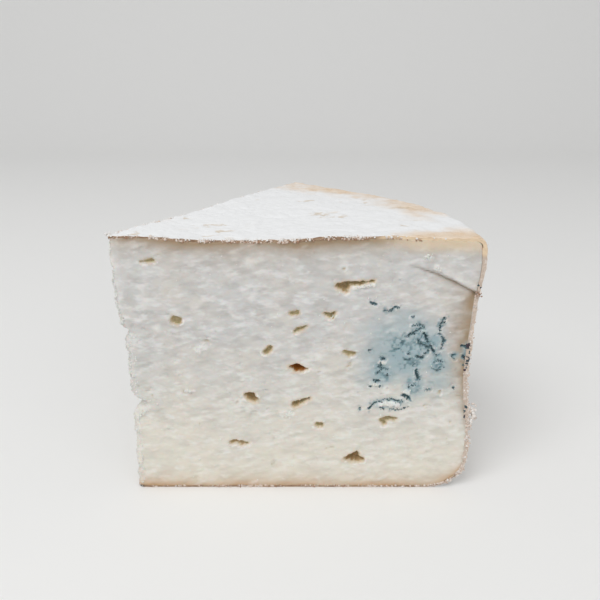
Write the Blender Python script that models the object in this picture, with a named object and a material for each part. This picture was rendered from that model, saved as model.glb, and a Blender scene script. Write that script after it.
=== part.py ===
"""A one-sixth wedge of a small wheel of blue cheese, standing on its flat underside.

Units are metres, +Z up. The wedge is first laid out in the wheel's own frame: the wheel's axis is
the Z axis, the near cut face lies along +X and faces -Y, and the far cut face is turned from it by
the wedge's angle. The finished solid is then moved so that the origin is the bottom centre of its
bounding box.
"""

import math

import bmesh
import bpy
import numpy as np
from mathutils import Matrix, Vector

MM = 0.001

# The wheel and the cut.
WHEEL_RADIUS = 130 * MM
WHEEL_HEIGHT = 103 * MM
WEDGE_ANGLE = math.radians(60)

# The rind's rounded corners.
TOP_ROUND = 3 * MM
FOOT_ROUND_UP = 11 * MM
FOOT_ROUND_IN = 15 * MM

# The rim's lip, waist and belly, each as its level from 0 (underside) to 1 (top), its spread and its swell.
RIM_SWELLS = ((0.9, 0.1, 1.4 * MM), (0.5, 0.14, -0.9 * MM), (0.2, 0.16, 1.8 * MM))
# Slow waves of a hand-turned wheel: height, radians per radian round it, radians up its side, and phase.
RIM_WAVES = ((0.3 * MM, 5.2, 7.5, 0.0), (0.2 * MM, 13.0, -9.0, 1.3))

# The top sags along the near cut, deepest between two places and gone at two others, and a little way in.
TOP_SAG = 1.2 * MM
SAG_ENDS = (5 * MM, 78 * MM)
SAG_DEEPEST = (34 * MM, 58 * MM)
SAG_REACH_IN = 29 * MM
# It droops over its outermost part, most of all at one share of the way round the wedge.
RIM_DROOP = 0.5 * MM
DROOP_START = 0.88 * WHEEL_RADIUS
DROOP_MOST_AT = 0.68
DROOP_SPREAD = 0.22
# And it waves: height, and radians per metre along X and Y of the two waves that are multiplied.
TOP_WAVE = 0.5 * MM
TOP_WAVE_ALONG = (62, 21)
TOP_WAVE_ACROSS = (-18, 55)
TOP_WAVE_PHASE = 0.4

# The thin edge where the two cuts meet is worn round: hardly at the top, most at middle height, less at the
# foot. A nick and a chip are each a level, a spread and a depth.
TIP_LEAST = 0.2 * MM
TIP_WEAR = 2.2 * MM
TIP_WEAR_LEVELS = (0.85, 0.5)
TIP_FOOT = 0.5 * MM
TIP_FOOT_LEVELS = (0.3, 0.05)
TIP_BREAKS = ((0.645, 0.02, 1.3 * MM), (0.36, 0.026, 3.0 * MM))

# The upper right corner of the near face stands proud of the rest, above a curved crack.
LEDGE = 1.3 * MM
LEDGE_START = 100 * MM
LEDGE_FULL_AFTER = 0.35
LEDGE_HEIGHT = 9.5 * MM
LEDGE_DROP = 11.5 * MM
CRACK_BEND = 1.6
CRACK_BLEND = 1.5 * MM

# How finely the skin is divided.
NEAR_STEPS = 36
ARC_STEPS = 24
FAR_STEPS = 24
NOSE_STEPS = 4
SIDE_LEVELS = 32
CORNER_STEPS = 4
CAP_RINGS = 4

# Eyes on each cut face, in mm: distance from the wheel's axis, height, width, height of the eye, depth,
# and the tilt of its long side in degrees.
NEAR_EYES = (
    (84.0, 85.2, 9.5, 3.2, 3.0, 6),
    (14.0, 94.2, 4.0, 2.0, 1.8, 10),
    (21.5, 71.8, 3.2, 3.0, 2.2, 0),
    (54.5, 59.6, 3.6, 2.6, 2.4, 35),
    (65.6, 52.5, 5.6, 3.4, 4.2, -4),
    (47.9, 40.0, 4.8, 3.2, 3.2, -12),
    (66.6, 38.2, 7.4, 2.4, 2.6, 24),
    (42.7, 20.4, 7.0, 2.4, 1.6, -6),
    (73.8, 28.4, 2.8, 2.0, 2.2, 0),
    (87.5, 14.0, 7.2, 4.4, 3.4, 4),
    (99.2, 30.2, 6.4, 3.2, 2.2, 8),
    (77.4, 73.4, 4.4, 2.6, 2.4, -14),
    (66.2, 68.6, 5.0, 2.2, 2.0, 28),
    (84.8, 58.9, 3.4, 2.6, 2.2, 0),
    (99.0, 37.8, 12.4, 3.0, 1.8, 8),
    (109.8, 49.6, 2.0, 5.0, 2.0, 0),
)
FAR_EYES = (
    (27.0, 80.0, 4.6, 2.6, 2.4, 12),
    (36.0, 33.0, 5.2, 3.0, 3.0, -20),
    (49.0, 60.0, 6.4, 2.8, 2.6, 8),
    (58.0, 87.0, 3.6, 2.4, 2.0, 0),
    (63.0, 18.0, 6.6, 3.4, 2.8, 16),
    (72.0, 44.0, 5.4, 3.6, 3.4, -8),
    (86.0, 73.0, 8.4, 3.0, 2.6, -10),
    (95.0, 27.0, 4.4, 2.8, 2.4, 30),
    (104.0, 54.0, 7.0, 2.6, 2.0, 5),
)


def bump(value, centre, width):
    """A smooth hill of height 1 at centre, falling away over width to both sides."""
    return np.exp(-(((value - centre) / width) ** 2))


def smooth_step(value, low, high):
    """0 below low, 1 above high, and an S-curve between them."""
    t = np.clip((value - low) / (high - low), 0, 1)
    return t * t * (3 - 2 * t)


def rim_radius(level, turn):
    """The wheel's radius at a level from 0 (underside) to 1 (top), and a turn from the near cut.

    The rind overhangs a little under the top, draws in at the waist and swells above the foot."""
    swell = sum(rise * bump(level, centre, spread) for centre, spread, rise in RIM_SWELLS)
    wave = sum(high * np.sin(round_it * turn + up * level + phase) for high, round_it, up, phase in RIM_WAVES)
    return WHEEL_RADIUS + swell + wave


def top_height(x, y):
    """The height of the top rind. It sags along the near cut and droops towards the rim."""
    sag = smooth_step(x, SAG_ENDS[0], SAG_DEEPEST[0]) * smooth_step(x, SAG_ENDS[1], SAG_DEEPEST[1])
    sag = sag * bump(y, 0, SAG_REACH_IN)
    share_round = np.arctan2(y, x) / WEDGE_ANGLE
    droop = smooth_step(np.hypot(x, y), DROOP_START, WHEEL_RADIUS)
    droop = droop * (0.5 + 0.5 * bump(share_round, DROOP_MOST_AT, DROOP_SPREAD))
    wave = np.sin(TOP_WAVE_ALONG[0] * x + TOP_WAVE_ALONG[1] * y + TOP_WAVE_PHASE)
    wave = wave * np.cos(TOP_WAVE_ACROSS[0] * x + TOP_WAVE_ACROSS[1] * y)
    return WHEEL_HEIGHT - TOP_SAG * sag - RIM_DROOP * droop + TOP_WAVE * wave * (1 - sag)


def tip_wear(level):
    """How far the worn edge between the two cuts stands back from the wheel's axis at a level."""
    worn = TIP_WEAR * smooth_step(level, *TIP_WEAR_LEVELS) - TIP_FOOT * smooth_step(level, *TIP_FOOT_LEVELS)
    breaks = sum(depth * bump(level, centre, spread) for centre, spread, depth in TIP_BREAKS)
    return TIP_LEAST + worn + breaks


def ledge(x, z):
    """How far the near face stands proud, above the crack that runs down to the rim.

    The crack falls with a power of the distance from where the corner starts, so it steepens."""
    run = np.clip((x - LEDGE_START) / (WHEEL_RADIUS - LEDGE_START), 0, 1)
    crack = WHEEL_HEIGHT - LEDGE_HEIGHT - LEDGE_DROP * run**CRACK_BEND
    above = smooth_step(z, crack - CRACK_BLEND, crack + CRACK_BLEND)
    return LEDGE * smooth_step(run, 0.0, LEDGE_FULL_AFTER) * above


def outline(level, inset):
    """One closed outline round the wedge, anticlockwise from above, with its rim drawn in by inset.

    It runs out along the near cut, round the rim, back along the far cut and round the worn tip."""
    nose = tip_wear(level) / (1 / math.tan(WEDGE_ANGLE / 2) - 1)
    tangent = nose / math.tan(WEDGE_ANGLE / 2)
    out = np.linspace(0, 1, NEAR_STEPS, endpoint=False)
    near = tangent + (rim_radius(level, 0.0) - inset - tangent) * out
    turn = np.linspace(0, WEDGE_ANGLE, ARC_STEPS, endpoint=False)
    rim = rim_radius(level, turn) - inset
    back = np.linspace(1, 0, FAR_STEPS, endpoint=False)
    far = tangent + (rim_radius(level, WEDGE_ANGLE) - inset - tangent) * back
    facing = np.linspace(WEDGE_ANGLE + math.pi / 2, 1.5 * math.pi, NOSE_STEPS, endpoint=False)
    x = np.concatenate(
        (near, rim * np.cos(turn), far * math.cos(WEDGE_ANGLE), tangent + nose * np.cos(facing))
    )
    y = np.concatenate(
        (0 * near, rim * np.sin(turn), far * math.sin(WEDGE_ANGLE), nose + nose * np.sin(facing))
    )
    z = level * top_height(x, y)
    y[:NEAR_STEPS] -= ledge(x[:NEAR_STEPS], z[:NEAR_STEPS])
    return np.stack((x, y, z), axis=1)


def side_outlines():
    """The outlines from the underside up to the top, close together where the rind turns a corner."""
    steps = []
    for i in range(CORNER_STEPS):
        angle = math.pi / 2 * i / CORNER_STEPS
        steps.append((FOOT_ROUND_UP * (1 - math.cos(angle)), FOOT_ROUND_IN * (1 - math.sin(angle))))
    for z in np.linspace(FOOT_ROUND_UP, WHEEL_HEIGHT - TOP_ROUND, SIDE_LEVELS):
        steps.append((z, 0.0))
    for i in range(CORNER_STEPS):
        angle = math.pi / 2 * (i + 1) / CORNER_STEPS
        height = WHEEL_HEIGHT - TOP_ROUND * (1 - math.sin(angle))
        steps.append((height, TOP_ROUND * (1 - math.cos(angle))))
    return [outline(z / WHEEL_HEIGHT, inset) for z, inset in steps]


def cap_outlines(edge, height):
    """Rings inside an edge outline, shrinking towards its middle at a height given for each point."""
    middle = edge.mean(axis=0)
    rings = []
    for share in np.linspace(1, 0, CAP_RINGS + 1)[1:-1]:
        ring = middle + (edge - middle) * share
        ring[:, 2] = height(ring[:, 0], ring[:, 1])
        rings.append(ring)
    return rings


def wedge_mesh():
    """The wedge as a closed skin: a stack of outlines, capped underneath and on top."""
    sides = side_outlines()
    under = cap_outlines(sides[0], lambda x, y: 0 * x)
    over = cap_outlines(sides[-1], top_height)
    build = bmesh.new()
    rings = [[build.verts.new(point) for point in ring] for ring in under[::-1] + sides + over]
    for low, high in zip(rings, rings[1:]):
        count = len(low)
        for i in range(count):
            j = (i + 1) % count
            build.faces.new((low[i], low[j], high[j], high[i]))
    for ring, flip in ((rings[0], True), (rings[-1], False)):
        centre = build.verts.new(sum((v.co for v in ring), Vector()) / len(ring))
        for i, vertex in enumerate(ring):
            following = ring[(i + 1) % len(ring)]
            corners = (following, vertex, centre) if flip else (vertex, following, centre)
            build.faces.new(corners)
    bmesh.ops.triangulate(build, faces=build.faces)
    mesh = bpy.data.meshes.new("cheese_wedge")
    build.to_mesh(mesh)
    build.free()
    return mesh


def eye_cutter(name, eyes, face_turn):
    """Flattened balls set into one cut face, to be cut out of it as the cheese's eyes."""
    build = bmesh.new()
    onto_face = Matrix.Rotation(face_turn, 4, "Z")
    for reach, height, width, tall, depth, tilt in eyes:
        place = Matrix.Translation((reach * MM, 0, height * MM))
        turn = Matrix.Rotation(math.radians(-tilt), 4, "Y")
        size = Matrix.Diagonal((width / 2 * MM, depth * MM, tall / 2 * MM, 1))
        bmesh.ops.create_icosphere(
            build, subdivisions=2, radius=1, matrix=onto_face @ place @ turn @ size
        )
    mesh = bpy.data.meshes.new(name)
    build.to_mesh(mesh)
    build.free()
    cutter = bpy.data.objects.new(name, mesh)
    cutter.display_type = "WIRE"
    cutter.hide_render = True
    bpy.context.scene.collection.objects.link(cutter)
    return cutter


def cheese_material():
    """Pale ivory curd with a soft, slightly moist surface."""
    material = bpy.data.materials.new("blue_cheese_curd")
    material.use_nodes = True
    shader = material.node_tree.nodes["Principled BSDF"]
    shader.inputs["Base Color"].default_value = (0.67, 0.64, 0.57, 1)
    shader.inputs["Roughness"].default_value = 0.6
    shader.inputs["Metallic"].default_value = 0.0
    return material


def move_origin_to_bottom_centre(objects, mesh):
    """Shifts every object's mesh so that the origin is the bottom centre of the wedge's box."""
    corners = np.array([v.co for v in mesh.vertices])
    low, high = corners.min(axis=0), corners.max(axis=0)
    shift = Matrix.Translation((-(low[0] + high[0]) / 2, -(low[1] + high[1]) / 2, -low[2]))
    for thing in objects:
        thing.data.transform(shift)


def main():
    for thing in list(bpy.data.objects):
        bpy.data.objects.remove(thing)
    mesh = wedge_mesh()
    mesh.materials.append(cheese_material())
    wedge = bpy.data.objects.new("cheese_wedge", mesh)
    bpy.context.scene.collection.objects.link(wedge)
    cutters = [
        eye_cutter("near_eyes", NEAR_EYES, 0.0),
        eye_cutter("far_eyes", FAR_EYES, WEDGE_ANGLE),
    ]
    for cutter in cutters:
        cut = wedge.modifiers.new("cut_" + cutter.name, "BOOLEAN")
        cut.operation = "DIFFERENCE"
        cut.solver = "MANIFOLD"
        cut.object = cutter
    move_origin_to_bottom_centre([wedge, *cutters], mesh)
    mesh.shade_smooth()
    mesh.set_sharp_from_angle(angle=math.radians(35))


main()
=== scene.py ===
"""A wedge of blue cheese: crumbly curd with eyes and mould veins, a thin bloomy rind, and loose crumbs.

Sizes are in millimetres in the wheel's own frame: the wheel's axis is Z, the near cut runs along +X and
faces -Y, and the far cut is turned from it by the wedge's angle.
"""

import math

import bmesh
import bpy
import numpy as np
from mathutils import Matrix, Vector


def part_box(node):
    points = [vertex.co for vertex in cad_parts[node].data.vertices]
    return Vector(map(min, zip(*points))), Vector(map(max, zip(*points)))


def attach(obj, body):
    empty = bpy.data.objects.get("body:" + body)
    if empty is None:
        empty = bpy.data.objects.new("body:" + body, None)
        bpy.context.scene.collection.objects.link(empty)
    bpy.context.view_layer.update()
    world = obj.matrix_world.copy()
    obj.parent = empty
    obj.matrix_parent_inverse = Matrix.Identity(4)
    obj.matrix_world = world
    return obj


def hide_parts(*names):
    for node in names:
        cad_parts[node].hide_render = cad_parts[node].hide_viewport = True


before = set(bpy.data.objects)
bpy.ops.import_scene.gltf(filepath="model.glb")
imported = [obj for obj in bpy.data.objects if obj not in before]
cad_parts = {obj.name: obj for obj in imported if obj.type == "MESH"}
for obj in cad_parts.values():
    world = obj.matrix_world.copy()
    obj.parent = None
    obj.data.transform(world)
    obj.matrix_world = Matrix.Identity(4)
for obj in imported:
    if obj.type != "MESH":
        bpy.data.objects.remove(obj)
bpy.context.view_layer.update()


# ---------------------------------------------------------------------------------------------------------
# The curd. Pressed and ripened cow's milk curd, cut from the wheel with a wire: a matt, crumbly face with
# round eyes, scrape marks from the wire, and blue-green mould where air reached the loose curd by the rim.
# ---------------------------------------------------------------------------------------------------------

MM = 0.001

# The wheel that the wedge is cut from, and the rounded edges of its rind.
WHEEL_RADIUS = 130.0
WHEEL_HEIGHT = 103.0
WEDGE_ANGLE = math.radians(60)
TOP_ROUND = 3.0
FOOT_UP = 11.0
FOOT_IN = 15.0

# How thick the rind is on top, at the rim and underneath, and how far the curd reaches into it.
RIND_TOP = 1.3
RIND_RIM = 1.7
RIND_FOOT = 0.9
OVERLAP = 0.3

# Swells of the rim as (level, spread, rise), and two waves round it as (rise, per turn, per level, phase).
RIM_SWELLS = ((0.9, 0.1, 1.4), (0.5, 0.14, -0.9), (0.2, 0.16, 1.8))
RIM_WAVES = ((0.3, 5.2, 7.5, 0.0), (0.2, 13.0, -9.0, 1.3))

# The sag of the top along the near cut, its droop to the rim, and the wave between.
TOP_SAG = 1.2
SAG_ENDS = (5, 78)
SAG_DEEPEST = (34, 58)
SAG_REACH_IN = 29
RIM_DROOP = 0.5
DROOP_START = 0.88
DROOP_MOST_AT = 0.68
DROOP_SPREAD = 0.22
TOP_WAVE = 0.5
TOP_WAVE_ALONG = (0.062, 0.021)
TOP_WAVE_ACROSS = (-0.018, 0.055)
TOP_WAVE_PHASE = 0.4

# How the thin edge between the cuts is worn back, and its breaks as (level, spread, depth).
TIP_LEAST = 0.2
TIP_WEAR = 2.2
TIP_WEAR_LEVELS = (0.85, 0.5)
TIP_FOOT = 0.5
TIP_FOOT_LEVELS = (0.3, 0.05)
TIP_BREAKS = ((0.645, 0.02, 1.3), (0.36, 0.026, 3.0))
TIP_CRUMBLING = 0.3

# The near cut's upper corner stands proud above a crack, which starts here and falls away to the rim.
LEDGE = 1.3
LEDGE_START = 100.0
LEDGE_FULL_AFTER = 0.35
LEDGE_HEIGHT = 9.5
LEDGE_DROP = 11.5
CRACK_BEND = 1.6

# The way the wire went through the curd, up from the level.
WIRE_RISE = math.radians(18)

# The wheel's axis on the table, in the part's own frame.
low_corner, high_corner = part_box("cheese_wedge")
AXIS = np.array((low_corner.x - TIP_LEAST * MM, low_corner.y + LEDGE * MM, low_corner.z))


def bump(value, centre, width):
    """A smooth hill of height 1 at centre, falling away over width to both sides."""
    return np.exp(-(((value - centre) / width) ** 2))


def smooth_step(value, low, high):
    """0 at low, 1 at high, and an S-curve between them."""
    t = np.clip((value - low) / (high - low), 0, 1)
    return t * t * (3 - 2 * t)


def grain(x, y, z, size, seed):
    """Soft random lumps of a size in mm, from -1 to 1.

    Each corner of a cubic lattice gets a repeatable random number, and a point takes the mix of the
    eight corners round it, weighted by S-curves."""
    places = [np.asarray(v, float) / size + 17.3 * seed for v in (x, y, z)]
    cells = [np.floor(v).astype(np.int64) for v in places]
    parts = [smooth_step(v - c, 0, 1) for v, c in zip(places, cells)]
    total = 0.0
    for corner in range(8):
        steps = [(corner >> k) & 1 for k in range(3)]
        mixed = seed * 974634777
        for cell, step, factor in zip(cells, steps, (374761393, 668265263, 1440662683)):
            mixed = mixed + (cell + step) * factor
        mixed = mixed & 0xFFFFFFFF
        mixed = ((mixed ^ (mixed >> 13)) * 1274126177) & 0xFFFFFFFF
        value = (mixed ^ (mixed >> 16)) / 0x7FFFFFFF - 1
        for part, step in zip(parts, steps):
            value = value * (part if step else 1 - part)
        total = total + value
    return total


def rim_radius(level, turn):
    """The wheel's radius at a level from 0 (underside) to 1 (top) and a turn from the near cut.

    It overhangs a little under the top, draws in at the waist, swells above the foot, and wavers."""
    swell = sum(rise * bump(level, centre, spread) for centre, spread, rise in RIM_SWELLS)
    wave = sum(high * np.sin(round_it * turn + up * level + phase) for high, round_it, up, phase in RIM_WAVES)
    return WHEEL_RADIUS + swell + wave


def top_height(x, y):
    """The height of the top rind: it sags along the near cut, droops to the rim, and wavers between."""
    sag = smooth_step(x, SAG_ENDS[0], SAG_DEEPEST[0]) * smooth_step(x, SAG_ENDS[1], SAG_DEEPEST[1])
    sag = sag * bump(y, 0, SAG_REACH_IN)
    share_round = np.arctan2(y, x) / WEDGE_ANGLE
    droop = smooth_step(np.hypot(x, y) / WHEEL_RADIUS, DROOP_START, 1.0)
    droop = droop * (0.5 + 0.5 * bump(share_round, DROOP_MOST_AT, DROOP_SPREAD))
    wave = np.sin(TOP_WAVE_ALONG[0] * x + TOP_WAVE_ALONG[1] * y + TOP_WAVE_PHASE)
    wave = wave * np.cos(TOP_WAVE_ACROSS[0] * x + TOP_WAVE_ACROSS[1] * y)
    return WHEEL_HEIGHT - TOP_SAG * sag - RIM_DROOP * droop + TOP_WAVE * wave * (1 - sag)


def tip_wear(level):
    """How far the thin edge between the cuts is worn back at a level, with a nick, a chip and crumbling."""
    worn = TIP_WEAR * smooth_step(level, *TIP_WEAR_LEVELS) - TIP_FOOT * smooth_step(level, *TIP_FOOT_LEVELS)
    breaks = sum(depth * bump(level, centre, spread) for centre, spread, depth in TIP_BREAKS)
    crumbling = TIP_CRUMBLING * grain(level * WHEEL_HEIGHT, 0, 0, 1.6, 3)
    return TIP_LEAST + np.maximum(worn + breaks + crumbling, TIP_LEAST / -2)


def worn_tip(level):
    """The rounded edge between the cuts at a level: its radius, and how far along each cut it starts."""
    nose = tip_wear(level) / (1 / math.tan(WEDGE_ANGLE / 2) - 1)
    return nose, nose / math.tan(WEDGE_ANGLE / 2)


def crack_run(x):
    """The share of the crack's way out to the rim, 0 before it starts."""
    return np.clip((x - LEDGE_START) / (WHEEL_RADIUS - LEDGE_START), 0, 1)


def crack_height(x):
    """The curved crack under the proud corner: level at first, then falling away towards the rim."""
    return WHEEL_HEIGHT - LEDGE_HEIGHT - LEDGE_DROP * crack_run(x) ** CRACK_BEND


def chain_gap(x, z, chain):
    """The distance in mm from each point to a chain of discs, below 0 inside it.

    Between two discs (x, z, radius) the radius changes evenly, so a chain is a tapering stroke."""
    gap = np.full(np.shape(x), 99.0)
    ends = chain[1:] or chain
    for (x0, z0, r0), (x1, z1, r1) in zip(chain, ends):
        length = max((x1 - x0) ** 2 + (z1 - z0) ** 2, 1e-6)
        t = np.clip(((x - x0) * (x1 - x0) + (z - z0) * (z1 - z0)) / length, 0, 1)
        reach = np.hypot(x - x0 - t * (x1 - x0), z - z0 - t * (z1 - z0)) - r0 - t * (r1 - r0)
        gap = np.minimum(gap, reach)
    return gap


# Eyes and pits in the near face: depth, how amber its floor is, and its chain of discs (x, height, radius).
NEAR_EYES = (
    (1.6, 0.1, ((10.8, 93.9, 0.5), (13.8, 94.2, 1.0), (15.2, 94.2, 0.6))),
    (0.8, 0.0, ((16.0, 96.1, 0.3), (17.2, 96.8, 0.3))),
    (1.7, 0.1, ((21.3, 71.8, 1.9), (21.8, 71.6, 1.8))),
    (0.7, 0.0, ((30.8, 63.6, 0.3), (32.4, 64.0, 0.4), (33.2, 62.9, 0.25))),
    (0.7, 0.0, ((27.2, 61.2, 0.35), (28.2, 61.8, 0.3))),
    (2.2, 0.2, ((53.8, 59.2, 1.1), (55.3, 60.4, 1.3))),
    (4.2, 1.0, ((62.6, 53.0, 0.6), (65.2, 52.6, 1.9), (67.3, 52.2, 1.2), (69.0, 52.0, 0.4))),
    (3.2, 0.4, ((45.8, 41.2, 0.7), (47.8, 40.4, 1.9), (49.3, 39.4, 1.4))),
    (0.8, 0.0, ((45.4, 40.6, 0.3), (43.4, 39.6, 0.3), (42.5, 38.0, 0.25))),
    (2.6, 0.3, ((64.3, 37.2, 1.4), (66.4, 38.0, 1.0), (70.4, 39.8, 0.5))),
    (1.4, 0.4, ((39.6, 20.6, 0.9), (41.9, 20.9, 0.8), (43.8, 20.0, 1.1), (46.4, 20.3, 0.5))),
    (1.8, 0.2, ((73.2, 28.4, 1.2), (74.4, 28.2, 1.1))),
    (3.4, 0.5, (
        (84.2, 13.0, 0.8), (86.8, 13.6, 2.0), (88.2, 14.9, 1.4), (88.6, 13.1, 1.7), (90.8, 12.9, 1.0))),
    (1.6, 0.1, ((98.8, 28.9, 1.0), (98.0, 30.6, 1.2), (100.4, 31.2, 1.2), (103.2, 30.8, 0.7))),
    (3.0, 0.4, ((80.2, 84.9, 1.2), (82.3, 84.6, 1.9), (82.9, 82.7, 0.6))),
    (2.8, 0.3, ((83.5, 85.7, 0.9), (88.0, 85.9, 0.75), (92.6, 86.7, 0.35))),
    (1.4, 0.1, ((63.0, 74.3, 0.9), (65.2, 74.6, 1.1))),
    (2.2, 0.1, ((75.4, 74.2, 0.7), (77.6, 73.3, 1.2), (79.0, 74.8, 0.6))),
    (2.0, 0.1, ((64.6, 67.4, 0.6), (66.4, 68.2, 1.1), (68.8, 69.5, 0.5))),
    (1.5, 0.0, ((82.8, 59.3, 0.8), (84.4, 58.6, 1.3), (86.2, 58.4, 0.8))),
    (0.7, 0.0, ((83.2, 52.7, 0.3), (84.8, 53.8, 0.3), (85.0, 55.4, 0.3))),
    (0.7, 0.0, ((10.6, 41.0, 0.4), (10.8, 39.8, 0.35))),
    (0.4, 0.0, ((22.4, 43.8, 0.3), (22.6, 41.9, 0.3), (23.9, 41.6, 0.25))),
    (0.5, 0.0, ((27.8, 29.0, 0.45),)),
    (0.5, 0.0, ((28.3, 48.4, 0.4),)),
    (0.5, 0.0, ((76.6, 17.9, 0.3), (79.6, 18.4, 0.3))),
    (0.5, 0.0, ((55.2, 10.4, 0.3), (56.4, 11.2, 0.3), (56.0, 12.6, 0.25))),
    (0.6, 0.0, ((113.4, 36.9, 0.25), (115.8, 36.8, 0.25))),
    (1.0, 0.2, ((119.2, 42.9, 0.6), (119.1, 42.1, 0.5))),
    (0.7, 0.0, ((123.9, 29.9, 0.5), (124.0, 29.2, 0.4))),
    (0.8, 0.0, ((82.0, 91.2, 0.45),)),
)
# Mould veins in the near face: depth, how dark, and the chain of discs.
NEAR_VEINS = (
    (0.8, 0.8, ((91.6, 78.9, 0.35), (93.0, 78.1, 0.6), (94.0, 78.0, 0.4))),
    (0.9, 0.8, ((96.6, 75.4, 0.3), (98.7, 75.7, 0.5), (100.7, 76.8, 0.5), (102.2, 76.7, 0.3))),
    (0.8, 0.9, ((107.0, 72.9, 0.5),)),
    (1.0, 0.9, ((104.4, 65.4, 0.4), (106.7, 66.0, 0.5), (109.1, 67.9, 0.7), (111.6, 69.1, 0.5))),
    (0.9, 0.8, ((107.0, 69.6, 0.3), (109.4, 70.2, 0.6), (111.8, 68.6, 0.5))),
    (1.2, 1.0, ((111.8, 66.8, 0.7), (113.0, 63.6, 0.55), (114.9, 60.3, 0.5), (116.8, 57.8, 0.4))),
    (1.1, 0.9, ((109.4, 64.0, 0.4), (111.8, 62.0, 0.6), (114.2, 60.8, 0.5))),
    (1.1, 0.9, ((113.4, 59.9, 0.5), (111.3, 57.0, 0.6), (109.3, 57.4, 0.35))),
    (1.3, 1.0, ((118.9, 72.7, 0.35), (117.6, 70.0, 0.7), (117.3, 67.9, 0.4))),
    (0.9, 0.8, ((117.0, 66.7, 0.35), (119.1, 64.0, 0.55), (118.2, 60.3, 0.4))),
    (0.8, 0.7, ((116.0, 55.2, 0.3), (117.4, 56.1, 0.4), (119.0, 55.2, 0.3))),
    (0.8, 0.7, ((115.4, 52.8, 0.35), (117.4, 51.6, 0.5), (119.6, 52.8, 0.35))),
    (0.7, 0.7, ((122.2, 58.1, 0.4), (123.4, 56.5, 0.4))),
    (1.2, 1.0, ((125.4, 61.8, 0.5), (127.6, 61.4, 0.6))),
    (1.3, 1.0, ((126.3, 57.4, 0.6), (128.6, 56.6, 0.9))),
    (1.2, 1.0, ((109.9, 51.9, 0.45), (109.9, 50.2, 0.6), (110.4, 48.2, 0.7))),
    (1.1, 0.9, ((109.6, 46.5, 0.6), (107.4, 44.6, 0.5))),
    (1.2, 1.0, ((105.3, 41.3, 0.6), (107.5, 39.9, 0.8))),
    (1.3, 1.0, (
        (92.7, 35.6, 0.6), (94.4, 38.0, 0.4), (97.8, 39.3, 0.4), (101.7, 39.7, 0.5), (104.9, 38.4, 0.6))),
    (0.9, 0.8, ((97.0, 36.2, 0.4), (98.4, 35.8, 0.3))),
    (0.7, 0.7, ((100.6, 35.5, 0.3), (103.4, 35.0, 0.35), (107.6, 36.3, 0.3))),
    (0.7, 0.7, ((89.2, 36.0, 0.3), (89.4, 34.8, 0.3))),
    (0.9, 0.9, ((92.0, 59.7, 0.5),)),
    (1.2, 1.0, ((96.2, 56.9, 0.6), (97.8, 56.2, 0.6))),
    (0.8, 0.8, ((94.6, 53.4, 0.3), (96.4, 52.5, 0.5), (98.8, 52.1, 0.4))),
    (0.8, 0.8, ((96.4, 55.4, 0.3), (96.3, 51.0, 0.4), (94.8, 50.5, 0.3))),
    (0.8, 0.8, ((99.2, 50.0, 0.5),)),
    (1.1, 1.0, ((94.0, 47.5, 0.6), (96.3, 47.0, 0.5))),
    (0.8, 0.8, ((92.4, 45.4, 0.4), (93.2, 45.0, 0.3))),
    (0.8, 0.8, ((96.2, 45.3, 0.4),)),
    (0.7, 0.7, ((106.3, 58.5, 0.5),)),
    (0.6, 0.5, ((113.6, 43.8, 0.6), (115.3, 43.6, 0.5))),
    (0.9, 0.9, ((124.2, 44.4, 0.5),)),
)
# Soft patches in the near face: x, height, half width, half height and strength of the blue in the curd.
NEAR_BLUES = (
    (111, 64, 7, 7, 1.1), (96.5, 52, 6, 7, 1.0), (101, 38, 8, 2.5, 0.8), (109, 45, 5, 7, 0.95),
    (117, 54, 5, 5, 1.0), (103, 72, 10, 5, 0.6), (115.5, 64, 2.5, 4, 1.1), (123.3, 58, 2.2, 1.6, 1.0),
    (103, 58, 14, 13, 0.95), (128, 59, 2.5, 3.5, 0.9), (118, 47, 6, 6, 0.65),
)
# Raised crumbly places in the near face: height of the relief, and the chain of discs.
NEAR_FLAKES = (
    (0.7, ((109.6, 96.0, 0.5), (111.8, 95.8, 0.9))),
    (0.5, ((114.0, 92.3, 0.9), (115.0, 91.3, 0.6))),
    (0.6, ((96.6, 37.6, 0.8), (100.0, 37.9, 1.0), (103.4, 37.6, 0.9))),
    (0.5, ((85.5, 84.3, 0.5), (89.0, 84.7, 0.4), (92.4, 85.3, 0.4))),
    (0.4, ((94.0, 45.9, 0.6), (96.0, 45.9, 0.5))),
    (0.5, ((96.4, 55.0, 0.7), (98.0, 54.8, 0.5))),
    (0.4, ((106.0, 42.9, 0.8), (107.4, 42.4, 0.6))),
    (0.3, ((60.0, 33.6, 1.6), (63.4, 33.4, 1.0))),
    (0.3, ((29.0, 60.2, 1.6), (31.6, 61.0, 0.9))),
    (0.35, ((77.0, 72.0, 0.5), (79.2, 73.2, 0.5))),
    (0.3, ((23.4, 43.2, 0.5), (26.5, 43.0, 0.5))),
)

# The same for the far cut face, seen from its own side: eyes, veins, blue patches and flakes.
FAR_EYES = (
    (2.4, 0.2, ((25.8, 79.8, 1.0), (28.3, 80.4, 0.9))),
    (3.0, 0.5, ((34.6, 33.5, 1.0), (37.2, 32.5, 1.3))),
    (2.6, 0.3, ((47.0, 59.7, 0.9), (49.4, 60.2, 1.3), (51.3, 60.3, 0.7))),
    (2.0, 0.1, ((57.4, 87.0, 1.0), (58.8, 87.0, 0.9))),
    (2.8, 0.4, ((60.9, 17.4, 1.0), (63.4, 18.2, 1.6), (65.2, 18.8, 0.8))),
    (3.4, 0.8, ((70.6, 44.2, 1.1), (72.9, 43.9, 1.6))),
    (2.6, 0.3, ((82.8, 73.6, 0.8), (86.0, 73.0, 1.3), (89.2, 72.4, 0.6))),
    (2.4, 0.2, ((93.8, 26.3, 0.9), (96.2, 27.7, 1.0))),
    (2.0, 0.1, ((101.6, 53.8, 0.9), (104.2, 54.0, 1.1), (106.7, 54.3, 0.7))),
)
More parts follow.
